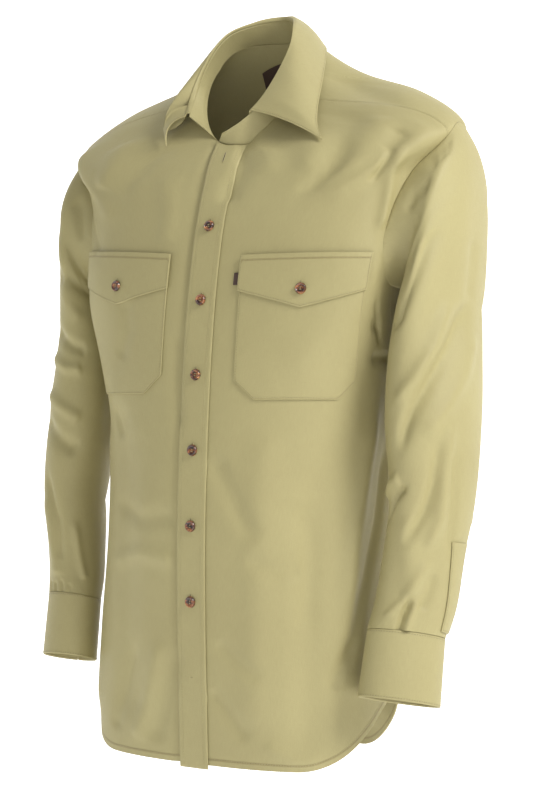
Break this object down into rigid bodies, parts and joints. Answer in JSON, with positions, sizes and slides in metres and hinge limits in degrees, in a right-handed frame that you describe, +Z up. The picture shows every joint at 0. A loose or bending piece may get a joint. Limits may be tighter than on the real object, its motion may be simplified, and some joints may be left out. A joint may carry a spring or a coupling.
{
  "type": "long-sleeved work shirt",
  "caption": "Long-sleeved khaki cotton drill shirt, filled out with no wearer, with turned-down collar, buttoned placket, flapped chest pockets and buttoned cuffs.",
  "frame": {"origin": "the middle of the neck opening, level with the side of the neckline seam, where a wearer's neck and shoulders hold the shirt up", "axes": "+Z up, the front faces -Y, and the wearer's left is +X"},
  "size_m": [0.54, 0.2655, 0.8448],
  "materials": {
    "cotton_drill": "khaki cotton drill, soft low sheen",
    "dark_trim": "dark brown woven tape, matte",
    "button": "mottled brown, polished"
  },
  "bodies": {
    "root": {"back": "cotton_drill", "collar_fall": "cotton_drill", "collar_stand": "cotton_drill", "cuff_button_left": "button", "cuff_button_right": "button", "cuff_left": "cotton_drill", "cuff_right": "cotton_drill", "flap_button_left": "button", "flap_button_right": "button", "flap_left": "cotton_drill", "flap_right": "cotton_drill", "front_button_1": "button", "front_button_2": "button", "front_button_3": "button", "front_button_4": "button", "front_button_5": "button", "front_button_6": "button", "front_left": "cotton_drill", "front_right": "cotton_drill", "neck_label": "dark_trim", "placket_band": "cotton_drill", "pocket_left": "cotton_drill", "pocket_right": "cotton_drill", "pocket_tab": "dark_trim", "sleeve_left": "cotton_drill", "sleeve_placket_left": "cotton_drill", "sleeve_placket_right": "cotton_drill", "sleeve_right": "cotton_drill", "yoke": "cotton_drill"}
  },
  "joints": []
}
